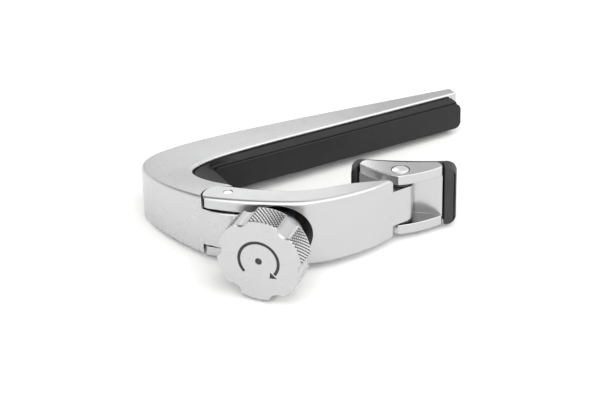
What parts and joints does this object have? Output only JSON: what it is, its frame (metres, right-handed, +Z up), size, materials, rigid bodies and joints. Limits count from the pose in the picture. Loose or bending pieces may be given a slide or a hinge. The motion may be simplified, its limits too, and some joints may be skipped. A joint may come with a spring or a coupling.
{
  "type": "guitar capo",
  "caption": "Screw-driven guitar capo: J-shaped aluminium frame with rubber string pad, hinged lever, swivelling padded clamp head and a knurled adjusting knob.",
  "frame": {"origin": "on the string pad's flat face, about 1 mm from its centre, on the capo's plane of symmetry", "axes": "+X along the string pad towards the free tip of the arm, -Y out of the pad's face into the throat, +Z up, square to the plane of symmetry"},
  "size_m": [0.081, 0.0532, 0.0188],
  "materials": {
    "satin_aluminium": "bead-blasted, clear anodised",
    "polished_steel": "polished",
    "spring_steel": "drawn wire",
    "black_rubber": "matte",
    "brass": "turned",
    "nylon": "black"
  },
  "bodies": {
    "frame": {"frame": "satin_aluminium", "string_pad_carrier": "black_rubber", "string_pad": "black_rubber", "screw_bushing": "brass", "screw_friction_ring": "nylon", "lever_pin": "polished_steel", "pivot_bush_upper": "brass", "pivot_bush_lower": "brass", "return_spring": "spring_steel", "lever_washer_upper": "nylon", "lever_washer_lower": "nylon"},
    "lever": {"lever": "satin_aluminium", "thrust_plate": "polished_steel"},
    "head": {"clamp_cradle": "satin_aluminium", "head_pad": "black_rubber", "head_pin": "polished_steel", "head_bush": "brass", "head_washer_upper": "nylon", "head_washer_lower": "nylon"},
    "thrust": {"thrust_tip": "polished_steel"},
    "knob": {"knob": "satin_aluminium", "adjusting_screw": "polished_steel"}
  },
  "joints": [
    {"name": "lever_hinge", "type": "hinge", "parent": "frame", "child": "lever", "pos_m": [-0.0362, -0.01735, 0], "axis": [0, 0, 1], "range_deg": [-3.02, 12.02], "deforming": ["return_spring"]},
    {"name": "screw_advance", "type": "slide", "parent": "frame", "child": "thrust", "axis": [0.7478, 0.6639, 0], "range_m": [-0.00062, 0.00247]},
    {"name": "knob_turn", "type": "hinge", "parent": "thrust", "child": "knob", "pos_m": [-0.02837, -0.02617, 0], "axis": [0.7478, 0.6639, 0], "range_deg": [-278, 1112]},
    {"name": "head_swivel", "type": "hinge", "parent": "lever", "child": "head", "pos_m": [0, -0.02725, 0], "axis": [0, 0, 1], "range_deg": [-12, 38]}
  ],
  "couplings": [
    {"joint": "lever_hinge", "follows": "screw_advance", "rad_per_m": 84.746},
    {"joint": "knob_turn", "follows": "screw_advance", "rad_per_m": 7854}
  ]
}
